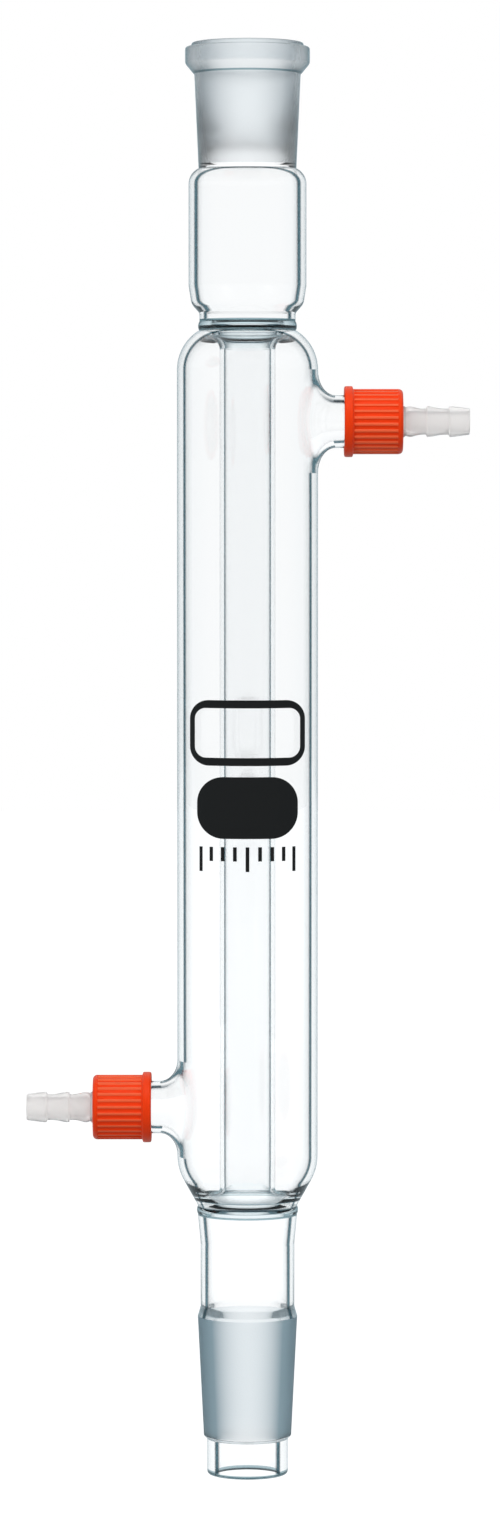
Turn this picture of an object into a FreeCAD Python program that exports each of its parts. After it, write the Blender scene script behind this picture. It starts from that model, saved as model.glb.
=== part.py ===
import FreeCAD, Part
import math
import os

# Straight condenser with a ground socket, a ground cone and two screw-on hose connectors.
# Millimetres, Z up. The origin is on the axis of the tube, halfway between the two seals of the jacket,
# where a stand's clamp holds it. The socket is at the top and the cone at the bottom.
# The upper arm points along +X, the lower arm along -X, and the print faces -Y.

# Ground joint, one standard size for the socket and for the cone
JOINT_WIDE_D = 24.0
JOINT_LENGTH = 29.0
JOINT_TAPER = 0.1

# Socket: its wall, its fire-polished lip and the thick rim round its mouth
SOCKET_WALL = 1.05
LIP_WIDTH = 1.5
LIP_RISE = 1.1
RIM_D = 29.8
RIM_HEIGHT = 6.0
RIM_ROUND = 1.0
RIM_UNDERCUT = 1.7
MOUTH_ROUND = 0.5
SOCKET_FOOT_GAP = 0.5

# Head tube, between the socket and the upper seal
HEAD_D = 28.2
HEAD_WALL = 1.8
HEAD_HEIGHT = 36.5
HEAD_SHOULDER_R = 4.06
HEAD_SHOULDER_HEIGHT = 3.75
HEAD_FOOT_TAPER = 0.6
HEAD_FOOT_HEIGHT = 6.0
HEAD_FOOT_ROUND = 3.2
WAIST_WALL = 0.9
WAIST_HEIGHT = 2.0

# Fused ring where head tube, jacket and inner tube meet, and its twin at the lower end
SEAL_D = 23.0
SEAL_HEIGHT = 2.3
SEAL_STEP = 0.35
SEAL_ROUND = 2.2
SEAL_BORE_D = 21.2

# Jacket
JACKET_D = 33.8
JACKET_WALL = 1.6
JACKET_LENGTH = 210.3
UPPER_SHOULDER_R = 11.0
LOWER_SHOULDER_R = 12.0
LOWER_SHOULDER_DEG = 30.0

# Inner tube, which flares into both seals
INNER_BORE_D = 10.8
INNER_WALL = 1.3
FLARE_R = 4.2

# Lower tube, between the lower seal and the cone
LOWER_TUBE_TOP_D = 23.8
LOWER_TUBE_END_D = 22.6
LOWER_TUBE_WALL = 1.6
LOWER_TUBE_HEIGHT = 24.6
LOWER_TUBE_TAPER_HEIGHT = 7.0
COLLAR_HEIGHT = 2.4

# Bore of the cone, and the drip tip under it
CONE_BORE_D = 17.3
TIP_D = 19.5
TIP_BORE_D = 15.6
TIP_LENGTH = 9.4
TIP_ROUND = 0.7

# Side arms of the jacket
ARM_D = 12.6
ARM_BORE_D = 9.4
ARM_FILLET = 4.2
ARM_LENGTH = 6.5
UPPER_ARM_DROP = 21.65
LOWER_ARM_RISE = 23.65
NECK_D = 11.9
NECK_LENGTH = 9.6
NECK_ROUND = 0.5

# Seal between the neck's rim and the hose nozzle
GASKET_D = 12.2
GASKET_HOLE_D = 8.0
GASKET_THICKNESS = 1.5

# Hose nozzle: a flange inside the cap, a boss in the cap's hole and three barbs outside
NOZZLE_BORE_D = 4.2
FLANGE_D = 12.4
FLANGE_THICKNESS = 1.2
BARB_D = 7.3
BARB_ROOT_D = 6.2
BARB_CRESTS = (1.5, 5.7, 11.1)
NOZZLE_REACH = 16.0

# Screw cap: a ribbed sleeve with a collar at its open end and a hole for the nozzle
CAP_D = 15.6
CAP_BORE_D = 13.5
CAP_LENGTH = 14.1
CAP_END_WALL = 1.5
CAP_END_CHAMFER = 1.0
CAP_COLLAR_D = 17.0
CAP_COLLAR_THICKNESS = 2.1
CAP_COLLAR_CHAMFER = 0.5
RIB_COUNT = 30
RIB_DEPTH = 0.4
RIB_CREST_SHARE = 0.5
RIB_ROOT = 0.1

# Working clearances
CAP_HOLE_CLEARANCE = 0.08
FLANGE_CLEARANCE = 0.05
PRINT_CLEARANCE = 0.01

# Print on the front of the jacket: a solid pad, an open frame above it and a row of marks below
PRINT_THICKNESS = 0.12
PAD_WIDTH = 26.7
PAD_HEIGHT = 14.7
PAD_ROUND = 6.2
PAD_Z = -8.4
FRAME_WIDTH = 32.0
FRAME_HEIGHT = 15.6
FRAME_ROUND = 4.5
FRAME_LINE = 1.9
FRAME_Z = 9.4
MARK_COUNT = 9
MARK_PITCH = 3.0
MARK_WIDTH = 0.9
MARK_HEIGHT = 3.4
LONG_MARK_HEIGHT = 5.9
LONG_MARK_EVERY = 4
MARK_TOP_Z = -17.7

# Radii that more than one outline uses
joint_wide_r = JOINT_WIDE_D / 2
joint_small_r = (JOINT_WIDE_D - JOINT_TAPER * JOINT_LENGTH) / 2
rim_r = RIM_D / 2
head_r = HEAD_D / 2
head_bore_r = head_r - HEAD_WALL
seal_r = SEAL_D / 2
seal_bore_r = SEAL_BORE_D / 2
waist_r = seal_bore_r + WAIST_WALL
jacket_r = JACKET_D / 2
jacket_bore_r = jacket_r - JACKET_WALL
inner_bore_r = INNER_BORE_D / 2
inner_r = inner_bore_r + INNER_WALL
flare_centre_r = inner_bore_r + FLARE_R
flare_back_r = FLARE_R - INNER_WALL

# Heights along the axis, from the seals outwards
upper_seal_z = JACKET_LENGTH / 2
lower_seal_z = -JACKET_LENGTH / 2
waist_z = upper_seal_z + SEAL_HEIGHT
head_foot_z = waist_z + WAIST_HEIGHT
head_top_z = waist_z + HEAD_HEIGHT
socket_foot_z = head_top_z + SOCKET_FOOT_GAP
mouth_z = socket_foot_z + JOINT_LENGTH
top_z = mouth_z + MOUTH_ROUND
rim_top_z = top_z - LIP_RISE
rim_foot_z = rim_top_z - RIM_HEIGHT
lower_tube_z = lower_seal_z - SEAL_HEIGHT
cone_top_z = lower_tube_z - LOWER_TUBE_HEIGHT
cone_end_z = cone_top_z - JOINT_LENGTH
bottom_z = cone_end_z - TIP_LENGTH
upper_arm_z = upper_seal_z - UPPER_ARM_DROP
lower_arm_z = lower_seal_z + LOWER_ARM_RISE

# Places along an arm, measured outwards from the axis of the tube
arm_shoulder = jacket_r + ARM_LENGTH
arm_reach = arm_shoulder + NECK_LENGTH
gasket_out = arm_reach + GASKET_THICKNESS
flange_out = gasket_out + FLANGE_THICKNESS
cap_end_in = flange_out + FLANGE_CLEARANCE
cap_end_out = cap_end_in + CAP_END_WALL
cap_mouth = cap_end_out - CAP_LENGTH
nozzle_tip = cap_end_out + NOZZLE_REACH
boss_r = BARB_D / 2 + CAP_HOLE_CLEARANCE
cap_hole_r = boss_r + CAP_HOLE_CLEARANCE

# How cuts run past a face, how near counts as touching, and how many flats stand for a round
FULL_TURN = 360.0
PAST = 1.0
TOUCH = 0.01
ROUND_FLAT_COUNT = 2
SHOULDER_FLAT_COUNT = 4


def outline(points):
    """Closed face in the XZ half plane. A point is (r, z), or (r, z, radius) for an arc that ends there.

    A positive radius bows the arc to the left of the way the outline runs, a negative one to the right.
    A fourth number turns the arc as that many flats, which keeps a small round light.
    """
    edges = []
    last = points[-1]
    for point in points:
        start = FreeCAD.Vector(last[0], 0, last[1])
        end = FreeCAD.Vector(point[0], 0, point[1])
        if len(point) == 2:
            edges.append(Part.makeLine(start, end))
        elif len(point) == 3:
            edges.append(arc(start, end, point[2]))
        else:
            corners = arc(start, end, point[2]).discretize(Number=point[3] + 1)
            edges += Part.makePolygon(corners).Edges
        last = point
    return Part.Face(Part.Wire(edges))


def arc(start, end, radius):
    """Arc under half a turn from start to end in the XZ plane."""
    chord = end - start
    half = chord.Length / 2
    size = max(abs(radius), half)
    bow = size - math.sqrt(size ** 2 - half ** 2)
    left = FreeCAD.Vector(-chord.z, 0, chord.x).normalize()
    middle = (start + end) / 2 + left * math.copysign(bow, radius)
    return Part.Arc(start, middle, end).toShape()


def turned(points):
    """Solid of revolution about Z."""
    return outline(points).revolve(FreeCAD.Vector(), FreeCAD.Vector(0, 0, 1), FULL_TURN)


def socket_r(z):
    """Radius of the ground socket at a height."""
    return joint_wide_r - JOINT_TAPER * (mouth_z - z) / 2


def on_arm(shape, height, side):
    """Moves a shape from the Z axis on to an arm. Its +Z points outwards, to +X or to -X by side."""
    placed = shape.copy()
    placed.rotate(FreeCAD.Vector(), FreeCAD.Vector(0, 1, 0), 90 * side)
    placed.translate(FreeCAD.Vector(0, 0, height))
    return placed


def head_outline():
    """Outside from the crest of the lip down to the upper seal."""
    under_rim_z = rim_foot_z - RIM_UNDERCUT / 2
    return [
        (0, top_z),
        (joint_wide_r + MOUTH_ROUND, top_z),
        (joint_wide_r + LIP_WIDTH, rim_top_z),
        (rim_r - RIM_ROUND, rim_top_z),
        (rim_r, rim_top_z - RIM_ROUND),
        (rim_r, rim_foot_z + RIM_UNDERCUT),
        (rim_r - RIM_UNDERCUT, rim_foot_z),
        (socket_r(under_rim_z) + SOCKET_WALL, under_rim_z),
        (joint_small_r + SOCKET_WALL, head_top_z),
        (head_r, head_top_z - HEAD_SHOULDER_HEIGHT, HEAD_SHOULDER_R, ROUND_FLAT_COUNT),
        (head_r, head_foot_z + HEAD_FOOT_HEIGHT),
        (head_r - HEAD_FOOT_TAPER, head_foot_z + HEAD_FOOT_ROUND),
        (waist_r, head_foot_z, HEAD_FOOT_ROUND, ROUND_FLAT_COUNT),
        (waist_r, waist_z),
        (seal_r, upper_seal_z, SEAL_ROUND, ROUND_FLAT_COUNT),
    ]


def upper_shoulder(radius):
    """Where the upper shoulder's arc leaves the seal and meets the wall, for the outside or the inside."""
    centre_r = jacket_r - UPPER_SHOULDER_R
    centre_z = upper_seal_z - rise(UPPER_SHOULDER_R, seal_r + SEAL_STEP - centre_r)
    return centre_r, centre_z, radius - centre_r


def rise(radius, reach):
    """Height on a circle over its centre at a distance from the centre's axis."""
    return math.sqrt(radius ** 2 - reach ** 2)


def lower_shoulder(radius):
    """Corner points of the lower shoulder, an arc and then a straight cone, for one side of the wall."""
    angle = math.radians(LOWER_SHOULDER_DEG)
    centre_r = jacket_r - LOWER_SHOULDER_R
    arc_end_r = centre_r + LOWER_SHOULDER_R * math.cos(angle)
    cone_height = (arc_end_r - seal_r - SEAL_STEP) / math.tan(angle)
    centre_z = lower_seal_z + cone_height + LOWER_SHOULDER_R * math.sin(angle)
    size = radius - centre_r
    return [
        (radius, centre_z),
        (centre_r + size * math.cos(angle), centre_z - size * math.sin(angle), size, ROUND_FLAT_COUNT),
    ]


def jacket_outline():
    """Outside of the jacket, from seal to seal."""
    _, start_z, size = upper_shoulder(jacket_r)
    return [
        (seal_r + SEAL_STEP, upper_seal_z),
        (jacket_r, start_z, size, SHOULDER_FLAT_COUNT),
        *lower_shoulder(jacket_r),
        (seal_r + SEAL_STEP, lower_seal_z),
    ]


def foot_outline():
    """Outside from the lower seal down to the end of the drip tip."""
    tube_top_r = LOWER_TUBE_TOP_D / 2
    tube_end_r = LOWER_TUBE_END_D / 2
    tip_r = TIP_D / 2
    return [
        (seal_r + SEAL_STEP, lower_tube_z, SEAL_ROUND, ROUND_FLAT_COUNT),
        (tube_top_r, lower_tube_z),
        (tube_end_r, lower_tube_z - LOWER_TUBE_TAPER_HEIGHT),
        (tube_end_r, cone_top_z + COLLAR_HEIGHT),
        (joint_wide_r, cone_top_z),
        (joint_small_r, cone_end_z),
        (tip_r, cone_end_z - TIP_ROUND),
        (tip_r, bottom_z + TIP_ROUND),
        (tip_r - TIP_ROUND, bottom_z),
        (0, bottom_z),
    ]


def bore():
    """The way through: socket, head tube, inner tube, lower tube, cone and tip."""
    lower_bore_r = LOWER_TUBE_END_D / 2 - LOWER_TUBE_WALL
    seal_round = seal_bore_r - flare_centre_r
    flare_top_z = upper_seal_z
    flare_foot_z = lower_seal_z
    return turned([
        (0, top_z + PAST),
        (joint_wide_r + MOUTH_ROUND, top_z + PAST),
        (joint_wide_r + MOUTH_ROUND, top_z),
        (joint_wide_r, mouth_z),
        (joint_small_r, socket_foot_z),
        (joint_small_r, head_top_z),
        (head_bore_r, head_top_z - HEAD_SHOULDER_HEIGHT, HEAD_SHOULDER_R, ROUND_FLAT_COUNT),
        (head_bore_r, head_foot_z + HEAD_FOOT_HEIGHT),
        (head_bore_r - HEAD_FOOT_TAPER, head_foot_z + HEAD_FOOT_ROUND),
        (seal_bore_r, head_foot_z, HEAD_FOOT_ROUND, ROUND_FLAT_COUNT),
        (seal_bore_r, flare_top_z + seal_round),
        (flare_centre_r, flare_top_z),
        (inner_bore_r, flare_top_z - FLARE_R, -FLARE_R, ROUND_FLAT_COUNT),
        (inner_bore_r, flare_foot_z + FLARE_R),
        (flare_centre_r, flare_foot_z, -FLARE_R, ROUND_FLAT_COUNT),
        (seal_bore_r, flare_foot_z - seal_round),
        (lower_bore_r, lower_tube_z - LOWER_TUBE_TAPER_HEIGHT),
        (lower_bore_r, cone_top_z + COLLAR_HEIGHT),
        (CONE_BORE_D / 2, cone_top_z),
        (TIP_BORE_D / 2, cone_end_z),
        (TIP_BORE_D / 2, bottom_z - PAST),
        (0, bottom_z - PAST),
    ])


def coolant_space():
    """The room for cooling water, between the jacket and the inner tube."""
    top_z = upper_seal_z - INNER_WALL
    foot_z = lower_seal_z + INNER_WALL
    centre_r, centre_z, size = upper_shoulder(jacket_bore_r)
    top_r = centre_r + rise(size, top_z - centre_z)
    wall_end, arc_end = lower_shoulder(jacket_bore_r)
    foot_r = arc_end[0] - (arc_end[1] - foot_z) * math.tan(math.radians(LOWER_SHOULDER_DEG))
    return turned([
        (top_r, top_z),
        (jacket_bore_r, centre_z, size, SHOULDER_FLAT_COUNT),
        wall_end,
        arc_end,
        (foot_r, foot_z),
        (flare_centre_r, foot_z),
        (inner_r, foot_z + flare_back_r, flare_back_r, ROUND_FLAT_COUNT),
        (inner_r, top_z - flare_back_r),
        (flare_centre_r, top_z, flare_back_r, ROUND_FLAT_COUNT),
    ])


def arm():
    """Outside of an arm from the axis of the tube to its rim, with the plain neck that the cap turns on."""
    return turned([
        (0, 0),
        (0, arm_reach),
        (NECK_D / 2 - NECK_ROUND, arm_reach),
        (NECK_D / 2, arm_reach - NECK_ROUND),
        (NECK_D / 2, arm_shoulder),
        (ARM_D / 2, arm_shoulder - (ARM_D - NECK_D) / 2),
        (ARM_D / 2, 0),
    ])


def joins_jacket(edge, height):
    """True if an edge is where an arm at this height leaves the jacket."""
    points = edge.discretize(Number=9)
    on_wall = all(abs(math.hypot(p.x, p.y) - jacket_r) < TOUCH for p in points)
    near = all(abs(p.z - height) < ARM_D / 2 + TOUCH for p in points)
    return on_wall and near


def glass_body():
    """All the glass: one blown and fused piece."""
    body = turned(head_outline() + jacket_outline() + foot_outline())
    arms = [(upper_arm_z, 1), (lower_arm_z, -1)]
    for height, side in arms:
        body = body.fuse(on_arm(arm(), height, side))
    body = body.removeSplitter()
    edges = [e for e in body.Edges if any(joins_jacket(e, height) for height, _ in arms)]
    body = body.makeFillet(ARM_FILLET, edges)
    body = body.cut(bore()).cut(coolant_space())
    start = (inner_r + jacket_bore_r) / 2
    for height, side in arms:
        way = Part.makeCylinder(ARM_BORE_D / 2, arm_reach + PAST - start, FreeCAD.Vector(0, 0, start))
        body = body.cut(on_arm(way, height, side))
    return body


def gasket():
    """Flat ring between the neck's rim and the nozzle's flange."""
    seat = FreeCAD.Vector(0, 0, arm_reach)
    ring = Part.makeCylinder(GASKET_D / 2, GASKET_THICKNESS, seat)
    return ring.cut(Part.makeCylinder(GASKET_HOLE_D / 2, GASKET_THICKNESS, seat))


def nozzle():
    """Hose nozzle with its flange, boss and barbs. Each barb narrows towards the tip, and its step faces the cap."""
    bore_r = NOZZLE_BORE_D / 2
    root_r = BARB_ROOT_D / 2
    barb_r = BARB_D / 2
    side = [(bore_r, gasket_out), (FLANGE_D / 2, gasket_out), (FLANGE_D / 2, flange_out)]
    side += [(boss_r, flange_out), (boss_r, cap_end_out), (root_r, cap_end_out)]
    first, *others = BARB_CRESTS
    side.append((barb_r, cap_end_out + first))
    for place in others:
        side.append((root_r, cap_end_out + place))
        side.append((barb_r, cap_end_out + place))
    side += [(root_r, nozzle_tip), (bore_r, nozzle_tip)]
    return turned(side)


def ribbed_prism():
    """Straight ribs round the cap's sleeve, as one extruded outline."""
    crest_r = CAP_D / 2
    root_r = crest_r - RIB_DEPTH - RIB_ROOT
    pitch = 2 * math.pi / RIB_COUNT
    crest_half = pitch * RIB_CREST_SHARE / 2
    flank = pitch / 8
    start = cap_mouth + CAP_COLLAR_THICKNESS / 2
    points = []
    for index in range(RIB_COUNT):
        middle = index * pitch
        for radius, angle in (
            (root_r, middle - crest_half - flank),
            (crest_r, middle - crest_half),
            (crest_r, middle + crest_half),
            (root_r, middle + crest_half + flank),
        ):
            points.append(FreeCAD.Vector(radius * math.cos(angle), radius * math.sin(angle), start))
    points.append(points[0])
    height = cap_end_out - CAP_END_CHAMFER - start
    return Part.Face(Part.makePolygon(points)).extrude(FreeCAD.Vector(0, 0, height))


def cap():
    """Moulded screw cap."""
    valley_r = CAP_D / 2 - RIB_DEPTH
    collar_r = CAP_COLLAR_D / 2
    collar_end = cap_mouth + CAP_COLLAR_THICKNESS
    bore_r = CAP_BORE_D / 2
    sleeve = turned([
        (0, cap_mouth),
        (0, cap_end_out),
        (valley_r - CAP_END_CHAMFER, cap_end_out),
        (valley_r, cap_end_out - CAP_END_CHAMFER),
        (valley_r, collar_end),
        (collar_r, collar_end),
        (collar_r, cap_mouth + CAP_COLLAR_CHAMFER),
        (collar_r - CAP_COLLAR_CHAMFER, cap_mouth),
    ])
    hollow = turned([
        (0, cap_mouth - PAST),
        (0, cap_end_out + PAST),
        (cap_hole_r, cap_end_out + PAST),
        (cap_hole_r, cap_end_in),
        (bore_r, cap_end_in),
        (bore_r, cap_mouth - PAST),
    ])
    return sleeve.fuse(ribbed_prism()).removeSplitter().cut(hollow)


def rounded_window(width, height, corner, middle_z):
    """Prism along Y, in front of the axis, with the outline of a print field."""
    half_w = width / 2
    half_h = height / 2
    box = Part.makeBox(width, jacket_r + PAST, height, FreeCAD.Vector(-half_w, -jacket_r - PAST, middle_z - half_h))
    corners = [e for e in box.Edges if abs(e.Vertexes[0].Point.y - e.Vertexes[1].Point.y) > jacket_r]
    return box.makeFillet(corner, corners)


def print_skin():
    """Thin sleeve round the jacket that every printed field is cut from."""
    tall = FRAME_Z + FRAME_HEIGHT
    low = MARK_TOP_Z - LONG_MARK_HEIGHT - PAST
    foot = FreeCAD.Vector(0, 0, low)
    inside_r = jacket_r + PRINT_CLEARANCE
    outside = Part.makeCylinder(inside_r + PRINT_THICKNESS, tall - low, foot)
    return outside.cut(Part.makeCylinder(inside_r, tall - low, foot))


def flat_width(arc_width):
    """Width seen from the front of a field that is this wide along the curve of the jacket."""
    return 2 * jacket_r * math.sin(arc_width / (2 * jacket_r))


def print_pad(skin):
    """Solid field with rounded corners."""
    return skin.common(rounded_window(flat_width(PAD_WIDTH), PAD_HEIGHT, PAD_ROUND, PAD_Z))


def print_frame(skin):
    """Open frame with rounded corners."""
    outer = rounded_window(flat_width(FRAME_WIDTH), FRAME_HEIGHT, FRAME_ROUND, FRAME_Z)
    inner = rounded_window(
        flat_width(FRAME_WIDTH - 2 * FRAME_LINE),
        FRAME_HEIGHT - 2 * FRAME_LINE,
        FRAME_ROUND - FRAME_LINE,
        FRAME_Z,
    )
    return skin.common(outer.cut(inner))


def print_marks(skin):
    """Row of plain strokes, with a longer one at both ends and in the middle."""
    marks = []
    for index in range(MARK_COUNT):
        height = MARK_HEIGHT if index % LONG_MARK_EVERY else LONG_MARK_HEIGHT
        box = Part.makeBox(MARK_WIDTH, 2 * PAST, height)
        box.translate(FreeCAD.Vector(-MARK_WIDTH / 2, -jacket_r - PAST, MARK_TOP_Z - height))
        angle = (index - (MARK_COUNT - 1) / 2) * MARK_PITCH / jacket_r
        box.rotate(FreeCAD.Vector(), FreeCAD.Vector(0, 0, 1), math.degrees(angle))
        marks.append(skin.common(box).Solids[0])
    return Part.makeCompound(marks)


def save(name, shape):
    """Writes one named piece."""
    solid = shape.Solids[0] if len(shape.Solids) == 1 else Part.makeCompound(shape.Solids)
    solid.exportStep(f"parts/{name}.step")
    print(name, "valid", solid.isValid(), "solids", len(shape.Solids), "volume", round(solid.Volume, 2))


def main():
    os.makedirs("parts", exist_ok=True)
    save("glass_body", glass_body())
    for name, height, side in (("upper", upper_arm_z, 1), ("lower", lower_arm_z, -1)):
        save(f"{name}_gasket", on_arm(gasket(), height, side))
        save(f"{name}_nozzle", on_arm(nozzle(), height, side))
        save(f"{name}_cap", on_arm(cap(), height, side))
    skin = print_skin()
    save("print_pad", print_pad(skin))
    save("print_frame", print_frame(skin))
    save("print_marks", print_marks(skin))


main()
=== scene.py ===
import math

import bmesh
import bpy
import numpy as np
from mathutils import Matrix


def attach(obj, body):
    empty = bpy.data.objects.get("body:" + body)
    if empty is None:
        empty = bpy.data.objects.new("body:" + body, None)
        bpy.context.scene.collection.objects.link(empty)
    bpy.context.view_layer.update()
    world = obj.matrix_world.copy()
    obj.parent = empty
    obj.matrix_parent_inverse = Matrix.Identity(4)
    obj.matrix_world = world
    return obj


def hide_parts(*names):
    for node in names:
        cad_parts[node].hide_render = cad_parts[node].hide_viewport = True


# Looks of a straight condenser: blown glass, two ribbed screw caps, two hose nozzles and the print.
# Shapes are in millimetres until a mesh is made, and seen from the front the upper arm points right.

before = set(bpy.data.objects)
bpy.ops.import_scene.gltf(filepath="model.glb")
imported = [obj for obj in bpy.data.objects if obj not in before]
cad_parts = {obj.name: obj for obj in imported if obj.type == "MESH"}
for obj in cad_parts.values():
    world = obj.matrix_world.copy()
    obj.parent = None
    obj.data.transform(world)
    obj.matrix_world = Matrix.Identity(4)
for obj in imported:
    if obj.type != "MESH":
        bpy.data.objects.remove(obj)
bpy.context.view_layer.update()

MM = 0.001
FULL_TURN = 2 * math.pi
SAME = 1e-9
ROW_TOLERANCE = 1e-6

# Kinds of glass, in the order of the glass mesh's list of materials
KINDS = (
    "socket", "tube", "jacket", "thick", "bore", "ground", "ground_bore", "inner_tube", "rim_bead", "flare",
    "ring", "seam", "inner_flare",
)
(
    SOCKET, TUBE, JACKET, THICK, BORE, GROUND, GROUND_BORE, INNER_TUBE, RIM_BEAD, FLARE,
    RING, SEAM, INNER_FLARE,
) = range(len(KINDS))

# Glass: radii and heights, as in the CAD model
JACKET_R = 16.9
JACKET_BORE_R = 15.3
INNER_R = 6.7
INNER_BORE_R = 5.4
SHOULDER_TOP_Z = 95.898
SHOULDER_TOP_CENTRE_R = 5.9
SHOULDER_FOOT_Z = -93.188
SHOULDER_FOOT_CENTRE_R = 4.9
HEAD_SHOULDER_Z = 140.2
HEAD_SHOULDER_ROUND = 4.06
RING_Z = 106.3
RING_ROUND = 2.2
FLARE_Z = 100.95
FLARE_CENTRE_R = 9.6
FLARE_ROUND = FLARE_CENTRE_R - INNER_R
BORE_FLARE_ROUND = FLARE_CENTRE_R - INNER_BORE_R

# Glass: how finely it is divided
GLASS_COLUMNS = 160
PATCH_HALF_COLUMNS = 16
PATCH_ROWS = 24
MIDDLE_Z = 60
MIDDLE_ROWS = 12
FLARE_STEPS = 10
ROUND_STEPS = 5
ROUND_SHARE = 0.49

# Side arms: height, side, and how far each patch of the jacket reaches up and down from the arm's axis
ARMS = (
    {"z": 83.5, "side": 1, "half_height": 12.35},
    {"z": -81.5, "side": -1, "half_height": 11.6},
)
PATCH_MARGIN = 0.1
ARM_R = 6.3
ARM_BORE_R = 4.7
FLARE_HEIGHT = 4.2
FLARE_SIDEWAYS = 3.4
BORE_FLARE_HEIGHT = 5.8
BORE_FLARE_SIDEWAYS = 4.1

# Necks of the arms, as pairs of place along the arm and radius, with their thread
NECK_R = 5.95
NECK_START = 23.4
NECK_END = 33.0
NECK_FOOT = ((21.6, ARM_R), (23.05, ARM_R), (23.3, 6.2), (NECK_START, 6.0), (23.6, NECK_R))
NECK_RIM = ((32.5, NECK_R), (32.75, 5.86), (32.95, 5.65), (NECK_END, 5.4), (NECK_END, 5.1), (32.9, 4.8))
ARM_BORE_PLACES = (32.6, 30.0, 27.0, 24.0, 22.0)
THREAD_PITCH = 2.5
THREAD_SHARPNESS = 1.6
THREAD_HEIGHT = 0.5
THREAD_START = 23.9
THREAD_END = 32.2
THREAD_STEPS = 10


# Outlines of the glass, as corners (radius, height, round, kind)

def rounded(corners):
    """Outline points (radius, height, kind) from corners. A round turns the corner into a short curve."""
    points = []
    for index, (r, z, size, kind) in enumerate(corners):
        before = corners[index - 1]
        after = corners[(index + 1) % len(corners)]
        if size == 0:
            points.append((r, z, kind))
            continue
        here = np.array((r, z))
        back = np.array(before[:2]) - here
        ahead = np.array(after[:2]) - here
        back_length = np.linalg.norm(back)
        ahead_length = np.linalg.norm(ahead)
        back = back / back_length
        ahead = ahead / ahead_length
        half = math.acos(np.clip(back @ ahead, -1, 1)) / 2
        reach = min(size / math.tan(half), ROUND_SHARE * back_length, ROUND_SHARE * ahead_length)
        for step in range(ROUND_STEPS + 1):
            t = step / ROUND_STEPS
            spot = here + back * reach * (1 - t) ** 2 + ahead * reach * t ** 2
            points.append((spot[0], spot[1], kind))
    return points


def arc(centre, radius, start_deg, end_deg, steps, kind):
    """Corners without a round, on an arc. Degrees are measured from straight out."""
    points = []
    for step in range(steps + 1):
        angle = math.radians(start_deg + (end_deg - start_deg) * step / steps)
        points.append((centre[0] + radius * math.cos(angle), centre[1] + radius * math.sin(angle), 0, kind))
    return points


def rows_between(start, end, count, r, kind):
    """Evenly spaced corners down a straight wall, both ends included."""
    return [(r, start + (end - start) * row / count, 0, kind) for row in range(count + 1)]


def patch_rows(arm, r, kind):
    """Rows of one arm's patch, from its top down to its foot."""
    return rows_between(arm["z"] + arm["half_height"], arm["z"] - arm["half_height"], PATCH_ROWS, r, kind)


def wall_rows(r, kind):
    """The jacket's straight wall, with the rows that each arm's patch needs."""
    upper, lower = ARMS
    rows = [(r, SHOULDER_TOP_Z, 0, kind)]
    rows += patch_rows(upper, r, kind)
    rows += rows_between(MIDDLE_Z, -MIDDLE_Z, MIDDLE_ROWS, r, kind)
    rows += patch_rows(lower, r, kind)
    rows.append((r, SHOULDER_FOOT_Z, 0, kind))
    return rows


def outside_outline():
    """Outside from the lip of the socket down to the end of the drip tip."""
    head = [
        (12.5, 173.95, 0.35, RIM_BEAD),
        (13.35, 173.8, 0.6, RIM_BEAD),
        (13.5, 172.85, 0.12, RIM_BEAD),
        (14.9, 172.85, 1.0, RIM_BEAD),
        (14.9, 168.9, 1.6, RIM_BEAD),
        (13.2, 166.85, 0.5, SEAM),
        (12.7, 166.3, 0.4, SOCKET),
        *arc((10.04, HEAD_SHOULDER_Z), HEAD_SHOULDER_ROUND, 66, 0, 8, TUBE),
        (14.1, 116.0, 6.0, TUBE),
        (13.4, 111.6, 3.0, TUBE),
        (11.5, 109.45, 1.2, TUBE),
        (11.5, 107.95, 0, SEAM),
        (11.5, 107.5, 0.15, SEAM),
    ]
    ring = arc((9.63, RING_Z), RING_ROUND, 28, -18, 5, RING)[:-1]
    ring += arc((9.63, RING_Z), RING_ROUND, -18, -28, 1, SEAM)
    top_centre = (SHOULDER_TOP_CENTRE_R, SHOULDER_TOP_Z)
    foot_centre = (SHOULDER_FOOT_CENTRE_R, SHOULDER_FOOT_Z)
    shoulder = arc(top_centre, JACKET_R - SHOULDER_TOP_CENTRE_R, 57.3, 0, 12, JACKET)[:-1]
    foot_shoulder = arc(foot_centre, JACKET_R - SHOULDER_FOOT_CENTRE_R, 0, -30, 8, JACKET)[1:]
    foot_ring = arc((10.0, -RING_Z), RING_ROUND, 29, 20, 1, SEAM)[:-1]
    foot_ring += arc((10.0, -RING_Z), RING_ROUND, 20, -18, 4, RING)[:-1]
    foot_ring += arc((10.0, -RING_Z), RING_ROUND, -18, -29, 1, SEAM)
    foot = [
        (11.95, -107.5, 0.15, TUBE),
        (11.3, -114.45, 4.0, TUBE),
        (11.3, -129.65, 2.0, TUBE),
        (12.0, -132.05, 0.25, GROUND),
        (10.55, -161.05, 0.5, THICK),
        (9.75, -161.75, 0.3, THICK),
        (9.75, -170.45, 0.9, SEAM),
        (7.8, -170.45, 0.5, SEAM),
    ]
    wall = wall_rows(JACKET_R, JACKET)
    return head + ring + shoulder + wall + foot_shoulder + foot_ring + foot


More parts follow.
